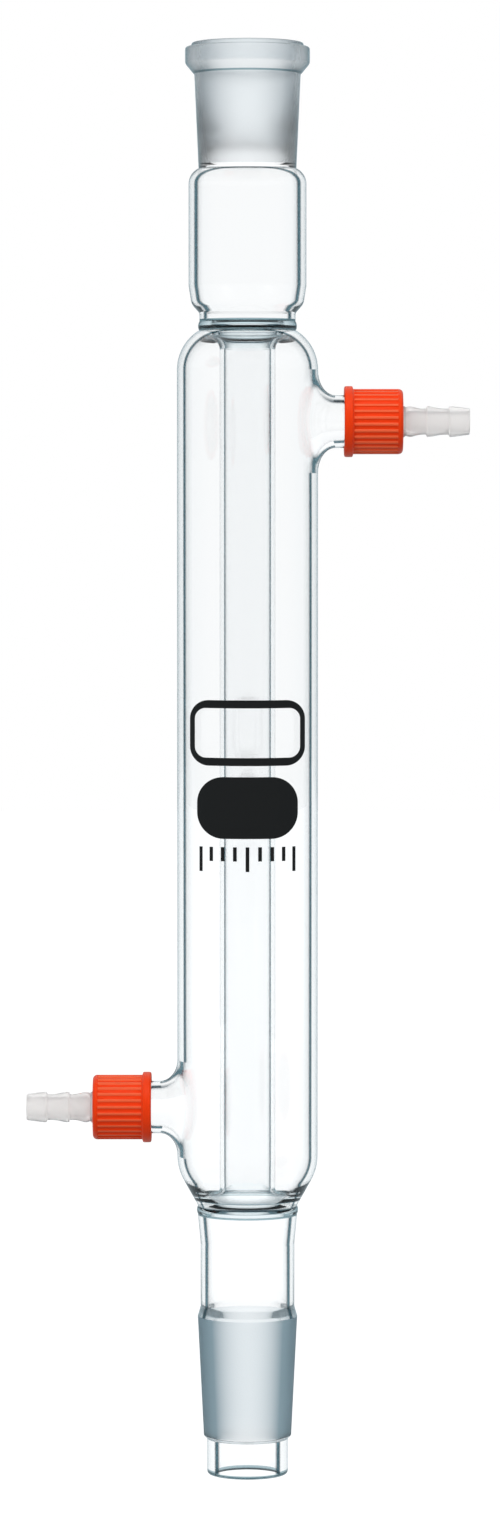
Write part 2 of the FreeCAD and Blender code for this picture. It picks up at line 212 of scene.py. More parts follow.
def bore_outline():
    """The way through, from the drip tip up to the lip of the socket."""
    return [
        (7.8, -169.9, 0, BORE),
        (7.8, -161.0, 1.0, BORE),
        (8.65, -132.05, 1.5, BORE),
        (9.7, -129.65, 2.0, BORE),
        (9.7, -114.45, 4.0, BORE),
        (10.6, -106.4, 0.5, BORE),
        *arc((FLARE_CENTRE_R, -FLARE_Z), BORE_FLARE_ROUND, 270, 180, 10, INNER_FLARE)[:-1],
        (INNER_BORE_R, -FLARE_Z, 0, BORE),
        *arc((FLARE_CENTRE_R, FLARE_Z), BORE_FLARE_ROUND, 180, 90, 10, INNER_FLARE),
        (10.6, 106.4, 0.5, BORE),
        (10.6, 109.45, 1.5, BORE),
        (11.7, 112.0, 3.0, BORE),
        (12.3, 116.0, 6.0, BORE),
        *arc((8.24, HEAD_SHOULDER_Z), HEAD_SHOULDER_ROUND, 0, 46, 6, BORE),
        (10.3, 142.9, 0.4, BORE),
        (10.25, 143.9, 0.3, BORE),
        (10.55, 144.6, 0, GROUND_BORE),
        (12.0, 173.45, 0.2, GROUND_BORE),
    ]


def coolant_outline():
    """Closed outline of the room between the jacket and the inner tube."""
    top_centre = (SHOULDER_TOP_CENTRE_R, SHOULDER_TOP_Z)
    foot_centre = (SHOULDER_FOOT_CENTRE_R, SHOULDER_FOOT_Z)
    return [
        (10.9, 103.85, 0.4, INNER_FLARE),
        *arc(top_centre, JACKET_BORE_R - SHOULDER_TOP_CENTRE_R, 52, 0, 12, BORE)[:-1],
        *wall_rows(JACKET_BORE_R, BORE),
        *arc(foot_centre, JACKET_BORE_R - SHOULDER_FOOT_CENTRE_R, 0, -30, 8, BORE)[1:],
        (10.75, -103.85, 0.5, INNER_FLARE),
        *arc((FLARE_CENTRE_R, -FLARE_Z), FLARE_ROUND, 270, 180, 8, INNER_FLARE)[:-1],
        (INNER_R, -FLARE_Z, 0, INNER_TUBE),
        *arc((FLARE_CENTRE_R, FLARE_Z), FLARE_ROUND, 180, 90, 8, INNER_FLARE),
    ]


# Meshes from rings of points

class Rings:
    """Points and faces of one mesh that is built ring by ring."""

    def __init__(self):
        self.points = []
        self.faces = []
        self.kinds = []

    def add(self, points):
        """Adds points and returns their numbers."""
        first = len(self.points)
        self.points += [tuple(p) for p in points]
        return list(range(first, first + len(points)))

    def band(self, one, other, kind, skip=()):
        """Quads between two closed rings of the same length. The kind may differ from column to column."""
        count = len(one)
        for index in range(count):
            if index in skip:
                continue
            following = (index + 1) % count
            self.faces.append((one[index], one[following], other[following], other[index]))
            self.kinds.append(kind if isinstance(kind, int) else kind[index])

    def mesh(self, name, looks):
        """Blender object from the rings, in metres, with smooth shading and its faces turned outwards."""
        data = bpy.data.meshes.new(name)
        data.from_pydata([(x * MM, y * MM, z * MM) for x, y, z in self.points], [], self.faces)
        for look in looks:
            data.materials.append(look)
        data.polygons.foreach_set("material_index", self.kinds)
        data.polygons.foreach_set("use_smooth", [True] * len(self.faces))
        work = bmesh.new()
        work.from_mesh(data)
        bmesh.ops.recalc_face_normals(work, faces=work.faces)
        work.to_mesh(data)
        work.free()
        thing = bpy.data.objects.new(name, data)
        bpy.context.scene.collection.objects.link(thing)
        return thing


def ring_angles(columns):
    """Angle of each column of a full turn."""
    return np.arange(columns) * FULL_TURN / columns


def in_patch(z_top, z_foot, radii, arm):
    """True if a row of the wall lies inside an arm's patch."""
    straight = abs(radii[0] - radii[1]) < SAME
    below_top = z_top <= arm["z"] + arm["half_height"] + ROW_TOLERANCE
    above_foot = z_foot >= arm["z"] - arm["half_height"] - ROW_TOLERANCE
    return straight and below_top and above_foot


def patch_columns(side):
    """Column numbers of an arm's patch, from one side edge to the other."""
    middle = 0 if side == 1 else GLASS_COLUMNS // 2
    return [(middle + step) % GLASS_COLUMNS for step in range(-PATCH_HALF_COLUMNS, PATCH_HALF_COLUMNS + 1)]


def lathe_with_openings(rings, outline, wall_r):
    """Turns a closed outline about Z, leaves an opening for each arm, and returns each opening's border."""
    angles = ring_angles(GLASS_COLUMNS)
    numbered = [rings.add([(r * math.cos(a), r * math.sin(a), z) for a in angles]) for r, z, _ in outline]
    borders = [[] for _ in ARMS]
    for index, (r, z, kind) in enumerate(outline):
        after = (index + 1) % len(outline)
        r_after, z_after, _ = outline[after]
        skip = ()
        if abs(r - wall_r) < SAME:
            for number, arm in enumerate(ARMS):
                if in_patch(z, z_after, (r, r_after), arm):
                    skip = set(patch_columns(arm["side"])[:-1])
                    borders[number].append(index)
        rings.band(numbered[index], numbered[after], kind, skip)
    loops = []
    for arm, rows in zip(ARMS, borders):
        columns = patch_columns(arm["side"])
        rows = rows + [rows[-1] + 1]
        loop = [numbered[rows[0]][c] for c in columns]
        loop += [numbered[row][columns[-1]] for row in rows[1:]]
        loop += [numbered[rows[-1]][c] for c in reversed(columns[:-1])]
        loop += [numbered[row][columns[0]] for row in reversed(rows[1:-1])]
        loops.append(loop)
    return loops


def arm_spots(rings, arm, wall_r, rho, angle, lift):
    """One ring of points at a distance from the arm's axis, lifted off the jacket's wall."""
    y = rho * np.sin(angle)
    z = arm["z"] + rho * np.cos(angle)
    x = (np.sqrt(wall_r ** 2 - y ** 2) + lift) * arm["side"]
    return rings.add(list(zip(x, y, z)))


def arm_flare(rings, border, arm, wall_r, tube_r, flare):
    """Rings of a flare from an opening's border to the arm's tube, and the angle of each column."""
    height, sideways, along = flare
    spots = [rings.points[number] for number in border]
    across = np.array([p[1] for p in spots])
    up = np.array([p[2] - arm["z"] for p in spots])
    angle = np.arctan2(across, up)
    reach = np.hypot(across, up)
    width = 1 / np.hypot(np.cos(angle) / along, np.sin(angle) / sideways)
    made = [border]
    outer = tube_r + width
    for share in (1 / 3, 2 / 3):
        rho = reach + (outer - reach) * share
        made.append(arm_spots(rings, arm, wall_r, rho, angle, 0))
    for step in range(FLARE_STEPS + 1):
        turn = math.pi / 2 * step / FLARE_STEPS
        rho = outer - width * math.sin(turn)
        made.append(arm_spots(rings, arm, wall_r, rho, angle, height * (1 - math.cos(turn))))
    return made, angle


def tube_ring(rings, arm, place, radius, angle):
    """One ring round an arm at a distance from the axis of the condenser. The radius may differ by angle."""
    y = radius * np.sin(angle)
    z = arm["z"] + radius * np.cos(angle)
    x = np.full(len(angle), place * arm["side"])
    return rings.add(list(zip(x, y, z)))


def ease(value):
    """Smooth step from 0 to 1."""
    value = np.clip(value, 0, 1)
    return value * value * (3 - 2 * value)


def thread_lift(place, angle, side, start, end, height, phase=0.0):
    """Height of a rounded right-hand thread at a place along the arm, for each angle round it."""
    turned = side * (math.pi / 2 - angle)
    wave = np.cos(FULL_TURN * (place / THREAD_PITCH + phase) - turned)
    fade = ease((place - start) / THREAD_PITCH) * ease((end - place) / THREAD_PITCH)
    return height * fade * (0.5 + 0.5 * wave) ** THREAD_SHARPNESS


def add_arm(rings, arm, border, inner_border):
    """One side arm: flare, threaded neck, rim and bore, from the jacket's outside back to its inside."""
    along = arm["half_height"] - PATCH_MARGIN - ARM_R
    made, angle = arm_flare(rings, border, arm, JACKET_R, ARM_R, (FLARE_HEIGHT, FLARE_SIDEWAYS, along))
    for one, other in zip(made, made[1:]):
        rings.band(one, other, FLARE)
    made = made[-1:]
    for place, radius in NECK_FOOT:
        made.append(tube_ring(rings, arm, place, radius, angle))
    for place in np.arange(THREAD_START, THREAD_END, THREAD_PITCH / THREAD_STEPS):
        lift = thread_lift(place, angle, arm["side"], THREAD_START, THREAD_END, THREAD_HEIGHT)
        made.append(tube_ring(rings, arm, place, NECK_R + lift, angle))
    for place, radius in NECK_RIM:
        made.append(tube_ring(rings, arm, place, radius, angle))
    for one, other in zip(made, made[1:]):
        rings.band(one, other, THICK)
    bore_along = arm["half_height"] - PATCH_MARGIN - ARM_BORE_R
    bore_flare = (BORE_FLARE_HEIGHT, BORE_FLARE_SIDEWAYS, bore_along)
    flare, inner_angle = arm_flare(rings, inner_border, arm, JACKET_BORE_R, ARM_BORE_R, bore_flare)
    back = [made[-1]]
    first = ARM_BORE_PLACES[0]
    last = ARM_BORE_PLACES[-1]
    for place in ARM_BORE_PLACES:
        between = angle + (inner_angle - angle) * (first - place) / (first - last)
        back.append(tube_ring(rings, arm, place, ARM_BORE_R, between))
    back += list(reversed(flare))
    for one, other in zip(back, back[1:]):
        rings.band(one, other, BORE)


def glass_body():
    """All the glass as one closed skin."""
    rings = Rings()
    outside = lathe_with_openings(rings, rounded(outside_outline() + bore_outline()), JACKET_R)
    inside = lathe_with_openings(rings, rounded(coolant_outline()), JACKET_BORE_R)
    for arm, border, inner_border in zip(ARMS, outside, inside):
        add_arm(rings, arm, border, inner_border)
    return rings.mesh("glassware", [materials[kind] for kind in KINDS])


# Screw caps and hose nozzles, made along the arm and then laid on it

CAP_COLUMNS = 360
CAP_BORE_R = 6.75
CAP_MOUTH_R = 6.78
CAP_MOUTH = 23.4
CAP_THREAD_START = 24.2
CAP_THREAD_END = 33.0
CAP_THREAD_HEIGHT = 0.42
CAP_THREAD_PHASE = 0.5
CAP_THREAD_STEPS = 8
RIB_COUNT = 30
GROOVE_DEPTH = 0.32
GROOVE_FLAT = 0.22
GROOVE_SLOPE = 0.14
HIGHLIGHT_CREST_SHARE = 0.3
NOZZLE_COLUMNS = 96

# Cap, as (radius, place along the arm, share of the groove's depth), from its mouth round into its bore
CAP_OUTLINE = (
    (6.95, 23.15, 0), (8.05, 23.15, 0), (8.3, 23.22, 0), (8.46, 23.42, 0), (8.5, 23.7, 0),
    (8.5, 24.85, 0), (8.44, 25.08, 0), (8.28, 25.22, 0), (8.05, 25.27, 0), (7.86, 25.3, 0),
    (7.8, 25.4, 0.0), (7.8, 25.5, 0.5), (7.8, 25.62, 1), (7.8, 28.0, 1), (7.8, 32.0, 1),
    (7.8, 35.8, 1), (7.8, 35.98, 0.6), (7.8, 36.12, 0.15), (7.79, 36.25, 0), (7.76, 36.45, 0),
    (7.66, 36.72, 0), (7.47, 36.97, 0), (7.22, 37.15, 0), (6.95, 37.24, 0), (6.7, 37.25, 0),
    (4.05, 37.25, 0), (3.88, 37.2, 0), (3.81, 37.05, 0), (3.81, 35.85, 0), (3.9, 35.75, 0),
    (6.5, 35.75, 0), (6.7, 35.65, 0), (CAP_BORE_R, 35.4, 0),
)

# Nozzle, as (radius, place along the arm), from the bore over the flange and the barbs back to the bore
NOZZLE_OUTLINE = (
    (2.1, 34.6), (2.2, 34.5), (6.1, 34.5), (6.2, 34.6), (6.2, 35.6), (6.1, 35.7),
    (3.85, 35.7), (3.73, 35.8), (3.73, 37.5), (3.68, 37.66), (3.5, 37.74), (3.4, 37.84),
    (3.42, 38.0), (3.5, 38.2), (3.6, 38.45), (3.65, 38.8), (3.64, 39.15), (3.56, 39.6),
    (3.42, 40.1), (3.28, 40.6), (3.16, 41.1), (3.1, 41.6), (3.09, 42.2), (3.1, 42.75),
    (3.14, 42.88), (3.5, 42.95), (3.6, 43.05), (3.64, 43.3), (3.62, 43.7), (3.54, 44.3),
    (3.42, 44.9), (3.3, 45.5), (3.2, 46.1), (3.12, 46.8), (3.1, 47.5), (3.1, 48.1),
    (3.14, 48.28), (3.54, 48.36), (3.63, 48.46), (3.65, 48.75), (3.61, 49.3), (3.48, 50.4),
    (3.34, 51.6), (3.22, 52.5), (3.14, 53.0), (3.04, 53.2), (2.9, 53.25), (2.3, 53.25),
    (2.15, 53.2), (2.1, 53.1),
)


def laid_on_arm(arm, along, radius, columns):
    """Points of one ring round an arm. The radius may differ from column to column."""
    angles = ring_angles(columns)
    radius = np.broadcast_to(radius, angles.shape)
    x = np.full(columns, along * arm["side"])
    y = radius * np.sin(angles) * arm["side"]
    z = arm["z"] + radius * np.cos(angles)
    return list(zip(x, y, z))


def groove_shape():
    """Share of the groove's depth at each column: 0 on a rib and 1 between two."""
    place = np.arange(CAP_COLUMNS) * RIB_COUNT / CAP_COLUMNS % 1
    off = np.abs(place - 0.5)
    return 1 - ease((off - GROOVE_FLAT) / GROOVE_SLOPE)


def screw_cap(name, arm):
    """Ribbed cap with a collar, a rounded end, a hole and an inside thread."""
    rings = Rings()
    grooves = groove_shape()
    made = []
    for radius, along, depth in CAP_OUTLINE:
        made.append(rings.add(laid_on_arm(arm, along, radius - GROOVE_DEPTH * depth * grooves, CAP_COLUMNS)))
    turned = ring_angles(CAP_COLUMNS) * arm["side"]
    for along in np.arange(CAP_THREAD_END, CAP_THREAD_START, -THREAD_PITCH / CAP_THREAD_STEPS):
        lift = thread_lift(
            along, turned, arm["side"], CAP_THREAD_START, CAP_THREAD_END, CAP_THREAD_HEIGHT, CAP_THREAD_PHASE
        )
        made.append(rings.add(laid_on_arm(arm, along, CAP_BORE_R - lift, CAP_COLUMNS)))
    made.append(rings.add(laid_on_arm(arm, CAP_MOUTH, CAP_MOUTH_R, CAP_COLUMNS)))
    made.append(made[0])
    depths = [depth for _, _, depth in CAP_OUTLINE]
    depths += [0] * (len(made) - len(depths))
    # Rib crests get the lighter orange, a painted highlight.
    painted_highlight_columns = [int(groove < HIGHLIGHT_CREST_SHARE) for groove in grooves]
    for number, (one, other) in enumerate(zip(made, made[1:])):
        on_ribs = depths[number] + depths[number + 1] > 1
        rings.band(one, other, painted_highlight_columns if on_ribs else 0)
    return rings.mesh(name, (materials["orange"], materials["orange_painted_highlight"]))


def hose_nozzle(name, arm):
    """Nozzle with a flange inside the cap and three barbs outside it."""
    rings = Rings()
    made = [rings.add(laid_on_arm(arm, along, radius, NOZZLE_COLUMNS)) for radius, along in NOZZLE_OUTLINE]
    made.append(made[0])
    for one, other in zip(made, made[1:]):
        rings.band(one, other, 0)
    return rings.mesh(name, (materials["nozzle"],))


# Nodes

def add_node(tree, kind, **values):
    """New node with its inputs set by name, with _ in place of each space."""
    node = tree.nodes.new(kind)
    for key, value in values.items():
        node.inputs[key.replace("_", " ")].default_value = value
    return node


def combined(tree, operation, *sockets):
    """Output socket of a math node that takes the given sockets."""
    node = tree.nodes.new("ShaderNodeMath")
    node.operation = operation
    for number, socket in enumerate(sockets):
        tree.links.new(socket, node.inputs[number])
    return node.outputs["Value"]


def mixed(tree, share, one, other):
    """Colour socket from one colour to the other by a share. Each colour is a fixed one or a socket."""
    mix = tree.nodes.new("ShaderNodeMix")
    mix.data_type = "RGBA"
    tree.links.new(share, mix.inputs["Factor"])
    for name, colour in (("A", one), ("B", other)):
        if isinstance(colour, tuple):
            mix.inputs[name].default_value = colour
        else:
            tree.links.new(colour, mix.inputs[name])
    return mix.outputs["Result"]


def new_group(name, values, colours, outputs):
    """Empty node group with its sockets. Returns the group, its input node and its output node."""
    group = bpy.data.node_groups.new(name, "ShaderNodeTree")
    for socket_name in values:
        group.interface.new_socket(socket_name, in_out="INPUT", socket_type="NodeSocketFloat")
    for socket_name in colours:
        group.interface.new_socket(socket_name, in_out="INPUT", socket_type="NodeSocketColor")
    for socket_name, kind in outputs:
        group.interface.new_socket(socket_name, in_out="OUTPUT", socket_type=kind)
    return group, group.nodes.new("NodeGroupInput"), group.nodes.new("NodeGroupOutput")


def grain_group():
    """Fine uneven surface, shared by the plastics, the print and the ground glass."""
    group, given, result = new_group("fine_grain", ("Scale", "Depth"), (), [("Normal", "NodeSocketVector")])
    place = group.nodes.new("ShaderNodeTexCoord")
    noise = add_node(group, "ShaderNodeTexNoise", Detail=3.0, Roughness=0.6)
    bump = add_node(group, "ShaderNodeBump", Distance=0.0001)
    group.links.new(place.outputs["Object"], noise.inputs["Vector"])
    group.links.new(given.outputs["Scale"], noise.inputs["Scale"])
    group.links.new(given.outputs["Depth"], bump.inputs["Strength"])
    group.links.new(noise.outputs["Fac"], bump.inputs["Height"])
    group.links.new(bump.outputs["Normal"], result.inputs["Normal"])
    return group


def edge_group():
    """Colour that goes from one to the other as a wall is seen more and more edge on; the edge colour is
    painted shade.
    """
    group, given, result = new_group(
        "painted_edge_shade", ("Facing", "Start", "End"), ("Plain", "Edge"), [("Colour", "NodeSocketColor")]
    )
    ramp = group.nodes.new("ShaderNodeMapRange")
    group.links.new(given.outputs["Facing"], ramp.inputs["Value"])
    group.links.new(given.outputs["Start"], ramp.inputs["From Min"])
    group.links.new(given.outputs["End"], ramp.inputs["From Max"])
    colour = mixed(group, ramp.outputs["Result"], given.outputs["Plain"], given.outputs["Edge"])
    group.links.new(colour, result.inputs["Colour"])
    return group


def line_group():
    """Colour with painted shade: a painted dark line where the inside of the wall is seen edge on through the
    outside, and a darker side and rim as the wall turns edge on.
    """
    group, given, result = new_group(
        "painted_wall_line", ("Facing", "Place", "Core", "Width"), ("Plain", "Side", "Rim", "Line"),
        [("Colour", "NodeSocketColor")],
    )
    to_side = add_node(group, "ShaderNodeMapRange", From_Min=SIDE_START)
    to_rim = add_node(group, "ShaderNodeMapRange", From_Min=RIM_START)
    to_line = add_node(group, "ShaderNodeMapRange", To_Min=1.0, To_Max=0.0)
    to_line.interpolation_type = "SMOOTHSTEP"
    from_line = combined(group, "SUBTRACT", given.outputs["Facing"], given.outputs["Place"])
    away = combined(group, "ABSOLUTE", from_line)
    group.links.new(given.outputs["Facing"], to_side.inputs["Value"])
    group.links.new(given.outputs["Place"], to_side.inputs["From Max"])
    group.links.new(given.outputs["Facing"], to_rim.inputs["Value"])
    group.links.new(away, to_line.inputs["Value"])
    group.links.new(given.outputs["Core"], to_line.inputs["From Min"])
    group.links.new(given.outputs["Width"], to_line.inputs["From Max"])
    colour = given.outputs["Plain"]
    for share, name in ((to_side, "Side"), (to_rim, "Rim"), (to_line, "Line")):
        colour = mixed(group, share.outputs["Result"], colour, given.outputs[name])
    group.links.new(colour, result.inputs["Colour"])
    return group


# Materials

# Painted shade of the clear walls: a darker side, a darker rim and a painted dark line, as the wall is seen
# more edge on.
SIDE_START = 0.15
RIM_START = 0.72
CLEAR = (0.985, 0.991, 0.994, 1)
SIDE = (0.9, 0.93, 0.945, 1)
RIM = (0.38, 0.48, 0.52, 1)
PAINTED_DARK_LINE = (0.006, 0.026, 0.038, 1)
BEND = 1.47
GROUND_ROUGHNESS = 0.45
CLEAR_SHARE = 0.95
GROUND_SHARE = 0.7

# Clear walls: name, facing at which the inside of the wall comes up, and inner and outer half width of the
# painted dark line
WALL_LINES = {
    "tube": ("clear_glass_tube", 0.52, 0.03, 0.1),
    "jacket": ("clear_glass_jacket", 0.556, 0.016, 0.068),
    "thick": ("clear_glass_thick_wall", 0.37, 0.03, 0.1),
    "inner_tube": ("clear_glass_inner_tube", 0.42, 0.015, 0.065),
    "flare": ("clear_glass_flare", 0.66, 0.04, 0.16),
}

# Other clear glass: name, index of refraction, start and end of the edge in the facing, and the two colours
# The dark edge colours are painted shade, and so are the darker plain colours of the fused ring and the seam.
CLEAR_EDGES = {
    "socket": ("clear_glass_socket", BEND, 0.75, 1.0, CLEAR, (0.35, 0.42, 0.46, 1)),
    "rim_bead": ("clear_glass_rim", BEND, 0.25, 0.8, (0.93, 0.95, 0.962, 1), (0.08, 0.15, 0.18, 1)),
    "ring": ("clear_glass_fused_ring", 1.25, 0.1, 0.85, (0.72, 0.83, 0.87, 1), (0.05, 0.14, 0.18, 1)),
    "inner_flare": (
        "clear_glass_inner_flare", 1.12, 0.22, 0.72, (0.93, 0.965, 0.975, 1), (0.03, 0.09, 0.12, 1)
    ),
    "seam": ("clear_glass_seam", BEND, 0.1, 0.8, (0.12, 0.22, 0.26, 1), (0.01, 0.035, 0.045, 1)),
    "bore": ("clear_glass_bore", BEND, 0.5, 0.95, CLEAR, (0.1, 0.14, 0.16, 1)),
}

# Ground glass: name, end of the edge in the facing, and the two colours, whose dark edge colour is painted
# shade
GROUND_EDGES = {
    "ground": ("ground_glass_outside", 0.32, (0.81, 0.86, 0.885, 1), (0.145, 0.245, 0.3, 1)),
    "ground_bore": ("ground_glass_inside", 0.65, (0.89, 0.93, 0.95, 1), (0.055, 0.13, 0.18, 1)),
}

# Grains, as scale and depth
GROUND_GRAIN = (2600.0, 0.35)
ORANGE_GRAIN = (1500.0, 0.12)
NOZZLE_GRAIN = (1200.0, 0.15)
SILICONE_GRAIN = (1500.0, 0.1)
ENAMEL_GRAIN = (3200.0, 0.25)

ORANGE_SHINE = {
    "Roughness": 0.4, "Specular_IOR_Level": 0.25, "Specular_Tint": (1, 0.75, 0.55, 1),
    "Sheen_Weight": 0.3, "Sheen_Roughness": 0.45, "Sheen_Tint": (1, 0.5, 0.27, 1),
}

# Plastics, silicone and print: name, grain and inputs of the shader
PLAIN_LOOKS = {
    "orange": (
        "orange_moulded_plastic", ORANGE_GRAIN,
        {"Base_Color": (0.92, 0.046, 0.003, 1), **ORANGE_SHINE},
    ),
    # Lighter orange on the rib crests: a painted highlight where light catches the ribs.
    "orange_painted_highlight": (
        "orange_rib_painted_highlight", ORANGE_GRAIN,
        {"Base_Color": (0.94, 0.125, 0.045, 1), **ORANGE_SHINE},
    ),
    "nozzle": (
        "milky_moulded_plastic", NOZZLE_GRAIN,
        {"Base_Color": (0.99, 0.978, 0.97, 1), "Roughness": 0.4, "IOR": 1.25, "Transmission_Weight": 0.75},
    ),
    "silicone": (
        "pale_silicone", SILICONE_GRAIN,
        {"Base_Color": (0.72, 0.68, 0.64, 1), "Roughness": 0.55},
    ),
    "enamel": (
        "black_fired_enamel", ENAMEL_GRAIN,
        {"Base_Color": (0.008, 0.008, 0.008, 1), "Roughness": 0.55, "Specular_IOR_Level": 0.2},
    ),
}


def new_material(name, **values):
    """Material with one Principled shader whose inputs are set by name."""
    material = bpy.data.materials.new(name)
    material.use_nodes = True
    tree = material.node_tree
    tree.nodes.clear()
    shader = add_node(tree, "ShaderNodeBsdfPrincipled", **values)
    output = tree.nodes.new("ShaderNodeOutputMaterial")
    tree.links.new(shader.outputs["BSDF"], output.inputs["Surface"])
    return material, tree, shader, output


def add_grain(tree, shader, scale, depth):
    """Puts the fine grain on a shader's normal."""
    grain = tree.nodes.new("ShaderNodeGroup")
    grain.node_tree = groups["grain"]
    grain.inputs["Scale"].default_value = scale
    grain.inputs["Depth"].default_value = depth
    tree.links.new(grain.outputs["Normal"], shader.inputs["Normal"])


def let_lamps_through(tree, shader, output, share):
    """Lets a share of the lamps' light through glass on to what is behind it."""
    path = tree.nodes.new("ShaderNodeLightPath")
    clear = add_node(tree, "ShaderNodeBsdfTransparent", Color=(share, share, share, 1))
    mix = tree.nodes.new("ShaderNodeMixShader")
    tree.links.new(path.outputs["Is Shadow Ray"], mix.inputs["Fac"])
    tree.links.new(shader.outputs["BSDF"], mix.inputs[1])
    tree.links.new(clear.outputs["BSDF"], mix.inputs[2])
    tree.links.new(mix.outputs["Shader"], output.inputs["Surface"])


def glass(name, group, roughness, bend, share, **settings):
    """Glass whose colour, with painted shade, follows how steeply its wall is seen, through a group with its
    settings.
    """
    material, tree, shader, output = new_material(
        name, Roughness=roughness, IOR=bend, Transmission_Weight=1.0
    )
    weight = add_node(tree, "ShaderNodeLayerWeight", Blend=0.5)
    tint = tree.nodes.new("ShaderNodeGroup")
    tint.node_tree = groups[group]
    for key, value in settings.items():
        tint.inputs[key].default_value = value
    tree.links.new(weight.outputs["Facing"], tint.inputs["Facing"])
    tree.links.new(tint.outputs["Colour"], shader.inputs["Base Color"])
    let_lamps_through(tree, shader, output, share)
    return material, tree, shader


groups = {"grain": grain_group(), "edge": edge_group(), "line": line_group()}
materials = {}

for look, (name, line_place, core, width) in WALL_LINES.items():
    materials[look], _, _ = glass(
        name, "line", 0.0, BEND, CLEAR_SHARE, Place=line_place, Core=core, Width=width,
        Plain=CLEAR, Side=SIDE, Rim=RIM, Line=PAINTED_DARK_LINE,
    )
for look, (name, bend, start, end, plain, edge) in CLEAR_EDGES.items():
    materials[look], _, _ = glass(
        name, "edge", 0.0, bend, CLEAR_SHARE, Start=start, End=end, Plain=plain, Edge=edge
    )
for look, (name, end, plain, edge) in GROUND_EDGES.items():
    materials[look], look_tree, look_shader = glass(
        name, "edge", GROUND_ROUGHNESS, BEND, GROUND_SHARE, Start=0.0, End=end, Plain=plain, Edge=edge
    )
    add_grain(look_tree, look_shader, *GROUND_GRAIN)
for look, (name, grain, values) in PLAIN_LOOKS.items():
    materials[look], look_tree, look_shader, _ = new_material(name, **values)
    add_grain(look_tree, look_shader, *grain)

# The object

body = glass_body()
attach(body, "glass")
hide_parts("glass_body")

for place, arm in zip(("upper", "lower"), ARMS):
    cap = screw_cap(f"{place}_ribbed_cap", arm)
    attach(cap, f"{place}_screw_cap")
    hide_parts(f"{place}_cap")
    nozzle = hose_nozzle(f"{place}_barbed_nozzle", arm)
    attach(nozzle, f"{place}_hose_end")
    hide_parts(f"{place}_nozzle")

CAD_LOOKS = {
    "upper_gasket": "silicone",
    "lower_gasket": "silicone",
    "print_pad": "enamel",
    "print_frame": "enamel",
    "print_marks": "enamel",
}
for node, look in CAD_LOOKS.items():
    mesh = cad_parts[node].data
    mesh.materials.clear()
    mesh.materials.append(materials[look])

# Floor, world, lamps and camera, in metres. Distances on the floor are measured from the frame's origin.

FLOOR_Z = -0.232
FLOOR_SIZE = 8.0
FLOOR_ALBEDO = 0.35
FLOOR_GLOW_NEAR = 0.86
FLOOR_GLOW_FAR = 0.95
FLOOR_RISE_START = 0.3
FLOOR_RISE_END = 2.0
PAINTED_SHADE_GLOW_SHARE = 0.6
PAINTED_SHADE_START_R = 0.08

WHITE = (1, 1, 1, 1)
MIRRORED = (0.32, 0.43, 0.48, 1)
OVERHEAD = (0.03, 0.075, 0.1, 1)
THROUGH_HEIGHTS = (0.42, 0.85)
MIRRORED_HEIGHTS = (0.2, 0.75)
AMBIENT = 0.36
AMBIENT_COLOUR = (0.97, 0.985, 1, 1)

LAMP_TARGET = (0, 0, 0)
LAMPS = {
    "overhead": {"location": (0.0, -0.75, 1.25), "size": (1.3, 0.9), "power": 9.0},
    "left_front": {"location": (-1.2, -1.3, 0.2), "size": (0.5, 1.2), "power": 11.0},
    "right_front": {"location": (1.2, -1.2, 0.15), "size": (0.35, 1.2), "power": 7.0},
}

CAMERA_DISTANCE = 1.3
CAMERA_HEIGHT = 0.062
CAMERA_X = 0.0006
CAMERA_CLIP_END = 50
VIEW_HEIGHT = 0.3701
TARGET_Z = 0.0
SENSOR = 36.0


def seen_share(tree):
    """Socket that is 1 for rays of sight, also in a gloss and through glass, and 0 for light on surfaces."""
    path = tree.nodes.new("ShaderNodeLightPath")
    direct_or_gloss = combined(tree, "MAXIMUM", path.outputs["Is Camera Ray"], path.outputs["Is Glossy Ray"])
    return combined(tree, "MAXIMUM", direct_or_gloss, path.outputs["Is Transmission Ray"])


def by_height(tree, parts, heights, low, high):
    """Colour socket that goes from one colour to another with the height of the direction."""
    share = add_node(tree, "ShaderNodeMapRange", From_Min=heights[0], From_Max=heights[1])
    tree.links.new(parts.outputs["Z"], share.inputs["Value"])
    return mixed(tree, share.outputs["Result"], low, high)


def by_reflection(tree, plain, mirrored):
    """Colour socket with one colour for what a surface mirrors and another for all other rays."""
    path = tree.nodes.new("ShaderNodeLightPath")
    return mixed(tree, path.outputs["Is Reflection Ray"], plain, mirrored)


